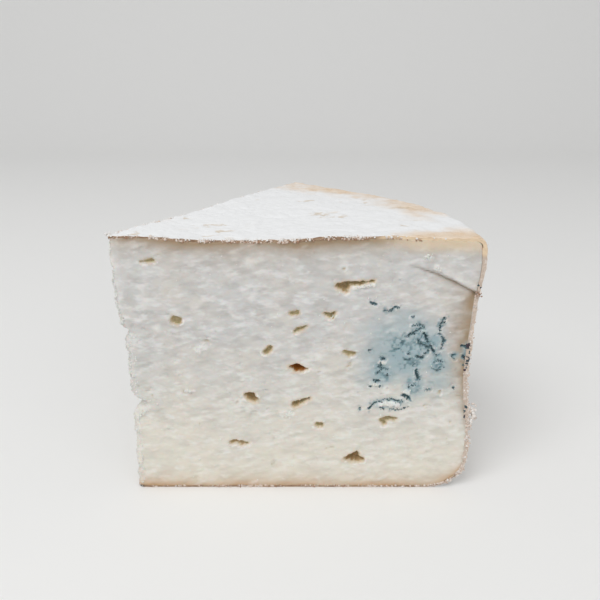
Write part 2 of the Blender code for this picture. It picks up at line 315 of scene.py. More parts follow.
FAR_VEINS = (
    (1.1, 0.9, ((100.0, 62.0, 0.4), (104.0, 64.0, 0.7), (108.0, 63.0, 0.5), (111.0, 66.0, 0.4))),
    (1.2, 1.0, ((108.0, 58.0, 0.4), (110.0, 52.0, 0.7), (108.0, 46.0, 0.5))),
    (1.0, 0.8, ((94.0, 44.0, 0.4), (98.0, 47.0, 0.6), (101.0, 45.0, 0.4))),
    (1.0, 0.9, ((113.0, 76.0, 0.4), (116.0, 71.0, 0.6), (115.0, 67.0, 0.4))),
    (0.9, 0.8, ((118.0, 50.0, 0.5), (121.0, 47.0, 0.5))),
    (1.0, 0.9, ((99.0, 38.0, 0.4), (103.0, 40.0, 0.6), (107.0, 39.0, 0.4))),
)
FAR_BLUES = ((108, 60, 9, 10, 1.0), (100, 44, 9, 8, 0.7), (115, 70, 6, 7, 0.8), (104, 56, 17, 17, 0.5))
FAR_FLAKES = ((0.4, ((86.0, 70.6, 0.6), (89.0, 70.4, 0.6))), (0.4, ((72.0, 41.4, 0.8), (74.0, 41.6, 0.5))))

# Each cut: its turn about the axis, the way into the cheese, the seed of its randomness, and its features.
CUTS = {
    "near": {
        "turn": 0.0, "inwards": (0.0, 1.0), "seed": 20,
        "eyes": NEAR_EYES, "veins": NEAR_VEINS, "blues": NEAR_BLUES, "flakes": NEAR_FLAKES,
    },
    "far": {
        "turn": WEDGE_ANGLE, "inwards": (math.sin(WEDGE_ANGLE), -math.cos(WEDGE_ANGLE)), "seed": 50,
        "eyes": FAR_EYES, "veins": FAR_VEINS, "blues": FAR_BLUES, "flakes": FAR_FLAKES,
    },
}
# What colours the curd: an eye's floor and how amber it is, mould in a vein, blue in the curd round it,
# pale crumbled places, partly painted light on the worn tip and the lips under the eyes, tan by the rind,
# with painted shade in and under the crack, and the lighter tan of a rubbed corner or an eye's halo.
CURD_MARKS = ("eye", "amber", "vein", "blue", "pale", "warm", "rubbed")


def mottle(along, height, *parts):
    """Random lumps over a cut face: the sum of (weight, size in mm, seed) for each part."""
    return sum(weight * grain(along, height, 0, size, seed) for weight, size, seed in parts)


def with_the_wire(along, height):
    """Places on a cut face measured along the wire's rise and across it."""
    rise = WIRE_RISE
    return along * math.cos(rise) + height * math.sin(rise), height * math.cos(rise) - along * math.sin(rise)


def lift_mark(marks, name, values):
    """Lifts a mark to new values wherever they are higher."""
    marks[name] = np.maximum(marks[name], values)


def calmed(relief, gap, reach):
    """Relief calmed to 0.35 of itself where a gap is 0, and left as it is from reach on."""
    return relief * (0.35 + 0.65 * smooth_step(gap, 0, reach))


def scraped(along, height, seed):
    """The relief that the wire left: streaks drawn out along its rise, blotches where curd crumbled away,
    a broad swell, a fine grit, and small pits in patches."""
    drawn, across = with_the_wire(along, height)
    streaks = grain(drawn / 4.5, across, 0, 1.3, seed) + 0.6 * grain(drawn / 3, across, 0, 0.7, seed + 1)
    blotches = mottle(along, height, (1, 2.4, seed + 2), (0.7, 1.2, seed + 3))
    swell = grain(along, height, 0, 14, seed + 4)
    relief = 0.13 * streaks + 0.17 * blotches + 0.3 * swell + 0.05 * grain(along, height, 0, 0.6, seed + 5)
    pits = smooth_step(grain(along, height, 0, 1.1, seed + 6), 0.62, 0.85)
    pits = pits * smooth_step(grain(along, height, 0, 9, seed + 7), -0.2, 0.4)
    return relief + 0.45 * pits


def open_eyes(relief, marks, along, height, eyes, ragged, crumbly):
    """Sinks each eye to its depth inside its ragged outline.

    A tan halo lies round it, and below it a paler lip of dragged curd that stands a little proud; its
    paleness is partly painted light, where the lower edge catches the light."""
    for depth, brown, chain in eyes:
        gap = chain_gap(along, height, chain) + ragged
        inside = smooth_step(gap, 0.3, -0.5)
        relief = relief + depth * smooth_step(gap, 0.35, -0.4 - 0.35 * depth)
        lift_mark(marks, "eye", inside * min(1.0, 0.4 + 0.4 * depth))
        lift_mark(marks, "amber", inside * brown)
        lift_mark(marks, "rubbed", min(0.65, 0.25 * depth) * bump(gap, 0.1, 0.8))
        # Painted light, in part: the pale lip lies only below the eye, where the lower edge catches the
        # light.
        lip = bump(gap, 0.6, 0.5) * smooth_step(chain[0][1] + 0.5 - height, -1.5, 0.5) * crumbly
        lift_mark(marks, "pale", 0.8 * lip * min(1.0, depth))
        relief = relief - 0.25 * lip * min(1.0, depth)
    return relief


def open_veins(relief, marks, along, height, veins, ragged, crumbly, seed):
    """Sinks each vein, with gaps where the curd closed over it.

    It is dark inside, young mould speckles the curd round it, and it has a paler, crumbly lip."""
    speckle = smooth_step(mottle(along, height, (1, 0.9, seed + 16), (0.5, 2.6, seed + 17)), 0.0, 0.7)
    broken = smooth_step(mottle(along, height, (1, 0.8, seed + 19), (0.5, 2.2, seed + 20)), -0.6, -0.05)
    for depth, dark, chain in veins:
        gap = chain_gap(along, height, chain) + 0.2 + 1.5 * ragged
        relief = relief + depth * broken * smooth_step(gap, 0.3, -0.6)
        lift_mark(marks, "vein", dark * broken * smooth_step(gap, 0.5, -0.35))
        lift_mark(marks, "vein", dark * (0.2 + 0.4 * speckle) * smooth_step(gap, 2.6, 0.2))
        lift_mark(marks, "pale", 0.55 * bump(gap, 0.8, 0.4) * crumbly)
    return relief


def spread_mould(relief, marks, along, height, blues, seed):
    """Tints soft oval patches blue; where they are strong, fine threads sink in a net, among smudges."""
    for x, z, wide, tall, strength in blues:
        soft = np.hypot((along - x) / wide, (height - z) / tall) + 0.3 * grain(along, height, 0, 5, seed + 11)
        lift_mark(marks, "blue", strength * smooth_step(soft, 1.9, 0.0))
    threads = mottle(along, height, (1, 2.4, seed + 12), (0.5, 1.1, seed + 21))
    net = np.clip(1 - np.abs(threads) * 5, 0, 1)
    net = net * smooth_step(grain(along, height, 0, 3.2, seed + 13), -0.35, 0.2)
    net = net * smooth_step(marks["blue"], 0.6, 0.95)
    lift_mark(marks, "vein", 0.95 * net)
    smudge = mottle(along, height, (1, 2.0, seed + 22), (0.7, 0.9, seed + 23))
    lift_mark(marks, "vein", 0.6 * smooth_step(smudge, 0.0, 0.6) * smooth_step(marks["blue"], 0.4, 0.95))
    return relief + 0.5 * net


def raise_flakes(relief, marks, along, height, flakes, ragged, seed):
    """Raises pale flakes of curd with ragged edges, and thin pale smears drawn along the wire's rise."""
    for rise, chain in flakes:
        gap = chain_gap(along, height, chain) + 1.2 * ragged
        relief = relief - rise * smooth_step(gap, 0.5, -0.5)
        lift_mark(marks, "pale", min(0.9, 0.3 + rise) * smooth_step(gap, 0.8, -0.4))
    drawn, across = with_the_wire(along, height)
    smears = grain(drawn / 2, across, 0, 2.0, seed + 14) + 0.6 * grain(along, height, 0, 6, seed + 15)
    smears = smooth_step(smears, 0.1, 1.2)
    lift_mark(marks, "pale", 0.5 * smears)
    return relief - 0.12 * smears


def tan_by_rind(marks, along, height, gaps, seed):
    """Tans the curd by the rind, fading as exp(-gap / reach): under the top, by the rim and at the foot.

    It reaches further in at the rim's middle height, and the upper corner is rubbed to a lighter tan."""
    over, side, under = gaps
    warm = np.maximum(0.95 * np.exp(-over / 5.5), 0.85 * np.exp(-under / 4.5)) + 0.2 * np.exp(-over / 1.2)
    warm = warm * (0.9 + 0.35 * grain(along, height, 0, 12, seed + 18))
    middle = smooth_step(height, 22, 62) * smooth_step(height, 94, 80)
    by_rim = (0.35 + 0.75 * middle) * np.exp(-side / (2.0 + 4.0 * middle))
    by_rim = by_rim * (1 + 0.35 * grain(along, height, 0, 3, seed + 24))
    marks["warm"] = np.clip(np.maximum(warm, by_rim), 0, 1)
    corner = smooth_step(along, 84, 112) * smooth_step(over, 7.0, -1.0) * smooth_step(height, 86, 98)
    lift_mark(marks, "rubbed", corner)


def gaps_to_rind(along, height, turn):
    """How far a point of a cut face is from the rind above it, beside it and under it, in mm, 0 in the rind.

    The underside's gap follows the rounded foot: the height above its quarter ellipse."""
    over = top_height(along * math.cos(turn), along * math.sin(turn)) - RIND_TOP - height
    side = rim_radius(height / WHEEL_HEIGHT, turn) - RIND_RIM - along
    out = np.clip((along - WHEEL_RADIUS + FOOT_IN) / FOOT_IN, 0, 1)
    under = height - RIND_FOOT - FOOT_UP * (1 - np.sqrt(1 - out**2))
    return [np.maximum(gap, 0) for gap in (over, side, under)]


def cut_face(along, height, cut):
    """The relief of one cut face (mm, inwards above 0) and the marks that colour it, from 0 to about 1.

    The wire's marks come first, then eyes, veins, mould, flakes and tan, and it is calm by the rind."""
    seed = cut["seed"]
    gaps = gaps_to_rind(along, height, cut["turn"])
    marks = {name: np.zeros(np.shape(along)) for name in CURD_MARKS}
    ragged = mottle(along, height, (0.38, 1.0, seed + 8), (0.25, 0.5, seed + 9))
    crumbly = smooth_step(grain(along, height, 0, 1.3, seed + 10), -0.25, 0.45)
    relief = scraped(along, height, seed)
    relief = open_eyes(relief, marks, along, height, cut["eyes"], ragged, crumbly)
    relief = open_veins(relief, marks, along, height, cut["veins"], ragged, crumbly, seed)
    relief = spread_mould(relief, marks, along, height, cut["blues"], seed)
    relief = raise_flakes(relief, marks, along, height, cut["flakes"], ragged, seed)
    tan_by_rind(marks, along, height, gaps, seed)
    return calmed(relief, np.minimum(np.minimum(gaps[0], gaps[1]), gaps[2]), 2.5), marks


def proud_corner(x, z):
    """How far the near face's upper corner stands proud, from 0 to 1: above the crack, out to the rim."""
    edge = crack_height(x) + 0.25 * grain(x, 0, 0, 2.0, 81)
    return smooth_step(crack_run(x), 0.0, LEDGE_FULL_AFTER) * smooth_step(z, edge - 0.5, edge + 0.4)


def cut_relief(side, along, height):
    """A cut face's relief and marks, with what only the near one has, and a paler strip by the tip, which is
    partly crumbled curd and partly painted light on the worn edge.

    The near one's upper corner stands proud. Under it runs the crack, a groove with painted tan shade
    in it and on the curd just under the ledge, and the corner has a pale lip above it."""
    relief, marks = cut_face(along, height, CUTS[side])
    if side == "near":
        proud, run, crack = proud_corner(along, height), crack_run(along), crack_height(along)
        groove = bump(height, crack - 0.5, 0.5) * smooth_step(run, 0.05, 0.4)
        shade = bump(height, crack - 1.6, 2.0) * smooth_step(run, 0.1, 0.7)
        lip = bump(height, crack + 2.2, 1.8) * smooth_step(run, 0.15, 0.6)
        relief = relief * (1 - 0.45 * proud) - LEDGE * proud + 0.6 * groove * (1 - proud)
        marks["warm"] = marks["warm"] * (1 - 0.4 * proud)
        # Painted shade: the crack's groove and the curd just under the proud ledge are tinted tan through the
        # warm mark.
        lift_mark(marks, "warm", (0.5 * groove + 0.35 * shade) * (1 - proud))
        marks["pale"] = marks["pale"] * (1 - 0.6 * proud) + (0.12 + 0.3 * lip) * proud
    # The paler strip by the tip is partly crumbled curd and partly painted light on the worn edge facing the
    # lamp.
    strip = 0.45 + 0.3 * grain(along, height, 0, 3, CUTS[side]["seed"] + 25)
    lift_mark(marks, "pale", bump(along, 0, 4.5) * strip)
    return calmed(relief, along, 5), marks


def on_cut(side, along, height, lift):
    """Points on a cut face's rough surface, lifted off it by a height in mm."""
    turn, inwards = CUTS[side]["turn"], CUTS[side]["inwards"]
    depth = cut_relief(side, along, height)[0] - lift
    x = along * math.cos(turn) + inwards[0] * depth
    y = along * math.sin(turn) + inwards[1] * depth
    return np.stack((x, y, height), axis=-1)


def spaced(low, high, fine_low, fine_high, step, fine_step):
    """Places from low to high, a step apart, and closer, a fine step apart, between the two fine ends."""
    guide = np.linspace(low, high, 4001)
    density = np.where((guide > fine_low) & (guide < fine_high), 1 / fine_step, 1 / step)
    count = np.concatenate(([0], np.cumsum((density[1:] + density[:-1]) / 2 * np.diff(guide))))
    return np.interp(np.linspace(0, count[-1], int(count[-1]) + 1), count, guide)


def foot_inset(height, up, inwards):
    """How far the rounded foot draws in at a height: a quarter ellipse."""
    return inwards * (1 - np.sqrt(np.clip(1 - np.clip((up - height) / up, 0, 1) ** 2, 0, 1)))


def end_cap(edge, heights):
    """Three rings inside an end ring, shrunk evenly to its middle, at heights worked out from x and y."""
    middle = edge.mean(axis=0)
    cap = middle + (edge - middle) * np.array((0.75, 0.5, 0.25))[:, None, None]
    cap[..., 2] = heights(cap[..., 0], cap[..., 1])
    return cap


def curd_rings():
    """The curd as a stack of closed outlines, and its marks.

    Each runs out along the near cut, round under the rind, back along the far cut and round the worn tip.
    The relief of the cut faces pushes their points in or out along each face's normal. The points lie
    about 0.6 mm apart, and 0.4 mm where the mould is."""
    near_share = spaced(0, 1, 0.68, 1.0, 0.6 / WHEEL_RADIUS, 0.42 / WHEEL_RADIUS)[:-1]
    far_share = np.linspace(1, 0, 132, endpoint=False)
    arc = np.linspace(0, WEDGE_ANGLE, 18, endpoint=False)
    facing = np.linspace(WEDGE_ANGLE + math.pi / 2, 1.5 * math.pi, 8, endpoint=False)
    rows = spaced(0, 1, 0.28, 0.87, 0.6 / WHEEL_HEIGHT, 0.44 / WHEEL_HEIGHT)[:, None]
    height = RIND_FOOT - OVERLAP + rows * (WHEEL_HEIGHT - RIND_TOP - RIND_FOOT + 2 * OVERLAP)
    level = height / WHEEL_HEIGHT
    nose, tangent = worn_tip(level)
    inset = RIND_RIM - OVERLAP
    inset = inset + foot_inset(height - RIND_FOOT + OVERLAP, FOOT_UP - RIND_FOOT, FOOT_IN - inset)
    top_gap = WHEEL_HEIGHT - RIND_TOP + OVERLAP - height
    inset = inset + foot_inset(top_gap, TOP_ROUND - 1, TOP_ROUND - 1)
    along_near = tangent + (rim_radius(level, 0.0) - inset - tangent) * near_share
    along_far = tangent + (rim_radius(level, WEDGE_ANGLE) - inset - tangent) * far_share
    rim = rim_radius(level, arc) - inset
    tip_x, tip_y = tangent + nose * np.cos(facing), nose + nose * np.sin(facing)
    cosine, sine = math.cos(WEDGE_ANGLE), math.sin(WEDGE_ANGLE)
    x = np.concatenate((along_near, rim * np.cos(arc), along_far * cosine, tip_x), axis=1)
    y = np.concatenate((0 * along_near, rim * np.sin(arc), along_far * sine, tip_y), axis=1)
    foot = RIND_FOOT - OVERLAP
    z = foot + rows * (top_height(x, y) - RIND_TOP + OVERLAP - foot)
    near = slice(0, near_share.size)
    far = slice(near_share.size + arc.size, near_share.size + arc.size + far_share.size)
    marks = {name: np.zeros(x.shape) for name in CURD_MARKS}
    # The foot mark is painted warm bounce light: it grows towards the bottom, where it makes the curd lighter
    # and creamier.
    marks["foot"] = np.clip((70 - z) / 62, 0, 1)
    for side, columns, along in (("near", near, along_near), ("far", far, along_far)):
        relief, found = cut_relief(side, along, z[:, columns])
        x[:, columns] += CUTS[side]["inwards"][0] * relief
        y[:, columns] += CUTS[side]["inwards"][1] * relief
        for name, values in found.items():
            marks[name][:, columns] = values
    tip = slice(far.stop, None)
    crumbling = 0.45 * grain(x, y, z, 1.1, 82)[:, tip] + 0.25 * grain(x, y, z, 0.6, 83)[:, tip]
    x[:, tip] += crumbling * math.cos(facing[4])
    y[:, tip] += crumbling * math.sin(facing[4])
    # The worn tip is painted pale: partly crumbled curd, partly painted light on the edge facing the lamp.
    marks["pale"][:, tip] = 0.35
    marks["warm"][:, tip] = marks["warm"][:, :1]
    rings = np.stack((x, y, z), axis=2)
    bottom = end_cap(rings[0], lambda x, y: foot)
    top = end_cap(rings[-1], lambda x, y: top_height(x, y) - RIND_TOP + OVERLAP)
    rings = np.concatenate((bottom[::-1], rings, top))
    marks = {name: np.pad(values, ((3, 3), (0, 0)), mode="edge") for name, values in marks.items()}
    return rings, marks


def closed_skin(name, rings, marks):
    """A closed, smooth-shaded mesh from a stack of closed rings, with each mark as a point attribute.

    Four-sided faces join each ring to the next, and one many-sided face closes each end."""
    index = np.arange(rings.shape[0] * rings.shape[1]).reshape(rings.shape[:2])
    following = np.roll(index, -1, axis=1)
    quads = np.stack((index[:-1], following[:-1], following[1:], index[1:]), axis=-1).reshape(-1, 4)
    return mesh_piece(name, rings, quads.tolist() + [index[0, ::-1].tolist(), index[-1].tolist()], marks)


def mesh_piece(name, points, faces, marks):
    """An object at the origin whose mesh has these points (mm, wheel frame), faces and point marks."""
    mesh = bpy.data.meshes.new(name)
    mesh.from_pydata((points.reshape(-1, 3) * MM + AXIS).tolist(), [], faces)
    mesh.shade_smooth()
    for mark, values in marks.items():
        layer = mesh.attributes.new(mark, "FLOAT", "POINT")
        layer.data.foreach_set("value", np.asarray(values, np.float32).ravel())
    piece = bpy.data.objects.new(name, mesh)
    bpy.context.scene.collection.objects.link(piece)
    return piece


def linear(colour):
    """An sRGB hex colour as linear red, green, blue and alpha, by the sRGB curve."""
    parts = [int(colour[i : i + 2], 16) / 255 for i in (1, 3, 5)]
    parts = [c / 12.92 if c <= 0.04045 else ((c + 0.055) / 1.055) ** 2.4 for c in parts]
    return (*parts, 1.0)


def add_node(tree, kind, inputs=None, **settings):
    """Adds one shader node with its own settings. Inputs maps a socket to a value, a colour or a socket."""
    node = tree.nodes.new(kind)
    for setting, value in settings.items():
        setattr(node, setting, value)
    for socket, value in (inputs or {}).items():
        if isinstance(value, bpy.types.NodeSocket):
            tree.links.new(value, node.inputs[socket])
        else:
            node.inputs[socket].default_value = linear(value) if isinstance(value, str) else value
    return node


def new_material(name, roughness, subsurface=0.0):
    """A material with its shader's plain settings, its node tree, its shader and its object coordinates.

    An IOR of 1.45 is typical of fat and of dry fibres, and light goes about 2 mm into the curd."""
    material = bpy.data.materials.new(name)
    material.use_nodes = True
    tree = material.node_tree
    shader = tree.nodes["Principled BSDF"]
    shader.inputs["Roughness"].default_value = roughness
    shader.inputs["IOR"].default_value = 1.45
    shader.inputs["Subsurface Weight"].default_value = subsurface
    shader.inputs["Subsurface Scale"].default_value = 2 * MM
    place = add_node(tree, "ShaderNodeTexCoord").outputs["Object"]
    return material, tree, shader, place


def ragged_mark(tree, mark, noise, spread, low, high):
    """A point mark whose edge is broken up by a noise, then sharpened to run from 0 at low to 1 at high.

    The noise counts as spread times its distance from a half. With no mark, it is taken alone."""
    settings = {0: noise, 1: spread, 2: -spread / 2}
    total = add_node(tree, "ShaderNodeMath", settings, operation="MULTIPLY_ADD").outputs[0]
    if mark:
        value = add_node(tree, "ShaderNodeAttribute", attribute_name=mark).outputs["Fac"]
        total = add_node(tree, "ShaderNodeMath", {0: value, 1: total}, operation="ADD").outputs[0]
    settings = {"Value": total, "From Min": low, "From Max": high}
    return add_node(tree, "ShaderNodeMapRange", settings, interpolation_type="SMOOTHSTEP").outputs[0]


def layered(tree, ground, layers):
    """A colour laid over another for each (cover, colour) in turn.

    On a colour Mix, socket 0 is the factor, and sockets 6 and 7 are the two colours."""
    colour = ground
    for cover, over in layers:
        colour = add_node(tree, "ShaderNodeMix", {0: cover, 6: colour, 7: over}, data_type="RGBA").outputs[2]
    return colour


def curd_material():
    """Cow's milk curd, cut and lightly scraped: ivory and matt, with a faint moist gloss in patches.

    It is greyer above and lighter and creamier below, which is painted warm bounce light, whiter where
    it has crumbled and where light is painted on the worn tip and the eyes' lower lips, tan by the rind,
    with painted shade in and under the crack, blue-grey round the veins and teal inside them. Its mottling
    is drawn out along the wire's rise."""
    material, tree, shader, place = new_material("cut_cows_milk_curd", 0.62, 0.15)
    smear = add_node(tree, "ShaderNodeMapping", {
        "Vector": place, "Rotation": (0, WIRE_RISE, 0), "Scale": (0.5, 1, 1.1)})
    # By size in mm: grit, crumbs, two sizes of mottling along the wire's rise, and broad patches.
    noises = {}
    for size in (0.45, 1.2, 2.4, 4.0, 18.0):
        where = smear.outputs[0] if size in (2.4, 4.0) else place
        settings = {"Vector": where, "Scale": 1 / (size * MM), "Detail": 2.0, "Roughness": 0.55}
        noises[size] = add_node(tree, "ShaderNodeTexNoise", settings).outputs["Fac"]
    # Painted light: the upper colours are a shaded, greyer copy of the curd, and the lower ones a copy lit by
    # warm bounce light.
    upper = layered(tree, "#cccbc9", [
        (ragged_mark(tree, None, noises[18.0], 1.0, -0.1, 0.2), "#cfcbc5"),
        (ragged_mark(tree, None, noises[4.0], 1.0, -0.1, 0.2), "#c0bebb"),
        (ragged_mark(tree, None, noises[2.4], 1.0, -0.05, 0.25), "#dcdbd9"),
    ])
    bounce_lit_lower_curd = layered(tree, "#e1dccf", [
        (ragged_mark(tree, None, noises[4.0], 1.0, -0.1, 0.2), "#d8d3c7"),
        (ragged_mark(tree, None, noises[2.4], 1.0, -0.05, 0.25), "#e8e5dc"),
    ])
    # Towards the bottom the foot mark fades to the bounce-lit lower copy: painted bounce light.
    ground = layered(tree, upper, [(ragged_mark(tree, "foot", noises[18.0], 0.5, -0.1, 1.1), bounce_lit_lower_curd)])
    eye_floor = layered(tree, "#cdbb9b", [
        (ragged_mark(tree, None, noises[1.2], 1.0, -0.1, 0.2), "#b9ab85"),
        (ragged_mark(tree, "eye", noises[1.2], 0.5, 0.7, 1.15), "#a1936c"),
        (ragged_mark(tree, "amber", noises[0.45], 0.3, 0.1, 1.0), "#9a6226"),
    ])
    mould = layered(tree, "#3f5459", [(ragged_mark(tree, None, noises[0.45], 1.0, 0.0, 0.3), "#648085")])
    # The tan turns warmer and lighter towards the bottom as painted bounce light; the warm mark that lays it
    # on also carries painted shade in and under the crack.
    rind_tan_and_painted_light = layered(tree, "#9f896f", [(ragged_mark(tree, "foot", noises[4.0], 0.2, 0.75, 1.0), "#c09a72")])
    colour = layered(tree, ground, [
        (ragged_mark(tree, "warm", noises[4.0], 0.2, 0.02, 1.05), rind_tan_and_painted_light),
        (ragged_mark(tree, "rubbed", noises[4.0], 0.35, 0.0, 1.1), "#d8c5aa"),
        (ragged_mark(tree, "blue", noises[4.0], 0.25, 0.0, 1.1), "#9aafb5"),
        (ragged_mark(tree, "pale", noises[1.2], 0.3, 0.1, 1.1), "#f1efeb"),
        (ragged_mark(tree, "vein", noises[0.45], 0.35, 0.12, 0.75), "#6f8b92"),
        (ragged_mark(tree, "vein", noises[0.45], 0.5, 0.5, 0.95), mould),
        (ragged_mark(tree, "eye", noises[0.45], 0.4, 0.1, 0.95), eye_floor),
    ])
    tree.links.new(colour, shader.inputs["Base Color"])
    gloss = {"Value": noises[4.0], "From Min": 0.3, "From Max": 0.7, "To Min": 0.5, "To Max": 0.75}
    tree.links.new(add_node(tree, "ShaderNodeMapRange", gloss).outputs[0], shader.inputs["Roughness"])
    grit = {"Strength": 0.35, "Distance": 0.2 * MM, "Height": noises[0.45]}
    tree.links.new(add_node(tree, "ShaderNodeBump", grit).outputs[0], shader.inputs["Normal"])
    return material


curd = closed_skin("curd", *curd_rings())
curd.data.materials.append(curd_material())
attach(curd, "root")
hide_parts("cheese_wedge")


# ---------------------------------------------------------------------------------------------------------
# The rind. A thin natural rind grown on the wheel as it dried and ripened: brown where the knife cut
# through it, powdery white with bloom outside, and rubbed down to tan where the wheel was handled.
# ---------------------------------------------------------------------------------------------------------


def rind_path():
    """Where the rind's rows lie: (share of the way out, inset from the rim, level from 0 to 1).

    The path runs from the tip out over the top, round the corner, down the rim, round the foot and back
    along the underside to the tip."""
    top_rows, corner_rows, rim_rows, foot_rows, under_rows = 175, 6, 124, 14, 40
    corner = np.linspace(0, math.pi / 2, corner_rows + 1)[1:]
    rim = np.linspace(WHEEL_HEIGHT - TOP_ROUND, FOOT_UP, rim_rows + 1)[1:]
    foot = np.linspace(0, math.pi / 2, foot_rows + 1)[1:]
    share = np.concatenate((
        np.linspace(0, 1, top_rows), np.ones(corner_rows + rim_rows + foot_rows),
        np.linspace(1, 0, under_rows + 1)[1:],
    ))
    inset = np.concatenate((
        np.full(top_rows, TOP_ROUND), TOP_ROUND * (1 - np.sin(corner)), np.zeros(rim_rows),
        FOOT_IN * (1 - np.cos(foot)), np.full(under_rows, FOOT_IN),
    ))
    height = np.concatenate((
        np.full(top_rows, WHEEL_HEIGHT), WHEEL_HEIGHT - TOP_ROUND * (1 - np.cos(corner)), rim,
        FOOT_UP * (1 - np.sin(foot)), np.zeros(under_rows),
    ))
    return share[:, None], inset[:, None], height[:, None] / WHEEL_HEIGHT


def rind_surface(columns):
    """The rind's outer surface at places from 0 to 1 across it, near cut to far cut, without its roughness.

    Each row mixes the worn tip's curve and the rim's arc by the row's share of the way out."""
    share, inset, level = rind_path()
    nose, tangent = worn_tip(level)
    facing = 1.5 * math.pi - (math.pi - WEDGE_ANGLE) * columns
    turn = WEDGE_ANGLE * columns
    rim = rim_radius(level, turn) - inset
    x = (1 - share) * (tangent + nose * np.cos(facing)) + share * rim * np.cos(turn)
    y = (1 - share) * (nose + nose * np.sin(facing)) + share * rim * np.sin(turn)
    return np.stack((x, y, level * top_height(x, y)), axis=2)


def outward(points):
    """The unit normal at each point of a grid, from the directions along its rows and its columns."""
    normal = np.cross(np.gradient(points, axis=0), np.gradient(points, axis=1))
    return normal / np.maximum(np.linalg.norm(normal, axis=2, keepdims=True), 1e-9)


def rind_rings():
    """The rind as closed loops across it, one for each row of its path, and its marks.

    A loop goes over the outside from the near cut to the far cut, through the cut edge there, back along
    the inside and out through the near cut edge. Bloom roughens the outside, and crumbling the near edge."""
    across = np.linspace(0, 1, 190)
    back = np.linspace(1, 0, 12)
    outer, inner = rind_surface(across), rind_surface(back)
    level = rind_path()[2]
    thick = np.where(level > 0.97, RIND_TOP, np.where(level < 0.02, RIND_FOOT, RIND_RIM))
    x, y, z = outer[..., 0], outer[..., 1], outer[..., 2]
    top = smooth_step(level, 0.93, 0.99) * np.ones(x.shape)
    powder = grain(x, y, z, 2.2, 101) + 0.8 * grain(x, y, z, 1.1, 102) + 1.4 * grain(x, y, z, 6, 103)
    pits = smooth_step(grain(x / 1.6, y, z, 3.0, 104) + 0.3 * grain(x, y, z, 1.0, 108), 0.25, 0.65)
    pits = pits * smooth_step(grain(x, y, z, 14, 105), 0.05, 0.45)
    rise = (0.2 + 0.1 * (1 - top)) * powder - 0.3 * pits
    rise = rise * smooth_step(z, 0.3, 2.0)
    share_round = np.arctan2(y, x) / WEDGE_ANGLE
    patches = 0.8 * grain(x, y, z, 11, 106) + 0.4 * grain(x, y, z, 4, 107)
    by_rim = smooth_step(np.hypot(x, y), 98, 124) * smooth_step(share_round, 0.0, 0.45) * top
    by_cut = smooth_step(x, 84, 108) * smooth_step(y, 16, 1) * top
    worn = np.clip(0.8 * by_rim + 0.9 * by_cut + 0.5 * (1 - top) + 0.35 * patches - 0.1, 0, 1)
    # The inside's columns run backwards, so its normals come out pointing inwards.
    outer, inner = outer + outward(outer) * rise[..., None], inner + outward(inner) * thick[..., None]
    for skin in (outer, inner):
        skin[..., 1] -= LEDGE * proud_corner(skin[..., 0], skin[..., 2]) * smooth_step(skin[..., 1], 6, 0)
    steps = np.array((0.2, 0.4, 0.6, 0.8))[None, :, None]
    far_edge = outer[:, -1:] + (inner[:, :1] - outer[:, -1:]) * steps
    near_edge = inner[:, -1:] + (outer[:, :1] - inner[:, -1:]) * steps
    rough_near = 0.3 * grain(near_edge[..., 0], 7, near_edge[..., 2], 1.2, 110) + 0.05
    rough_near = rough_near + 0.2 * grain(near_edge[..., 0], 7, near_edge[..., 2], 0.6, 111)
    near_edge[..., 1] += rough_near
    rings = np.concatenate((outer, far_edge, inner, near_edge), axis=1)
    marks = {}
    for name, outside, elsewhere in (("cut", 0 * x, 1.0), ("worn", worn, 1.0), ("pit", pits, 0.0)):
        padding = ((0, 0), (0, rings.shape[1] - x.shape[1]))
        marks[name] = np.pad(outside, padding, constant_values=elsewhere)
    x, y, z = rings[..., 0], rings[..., 1], rings[..., 2]
    marks["rim"] = smooth_step(z, 99, 94) * smooth_step(z, 4, 9)
    marks["rubbed"] = smooth_step(x, 86, 104) * smooth_step(z, 94, 99) * smooth_step(y, 4, 1)
    return rings, marks


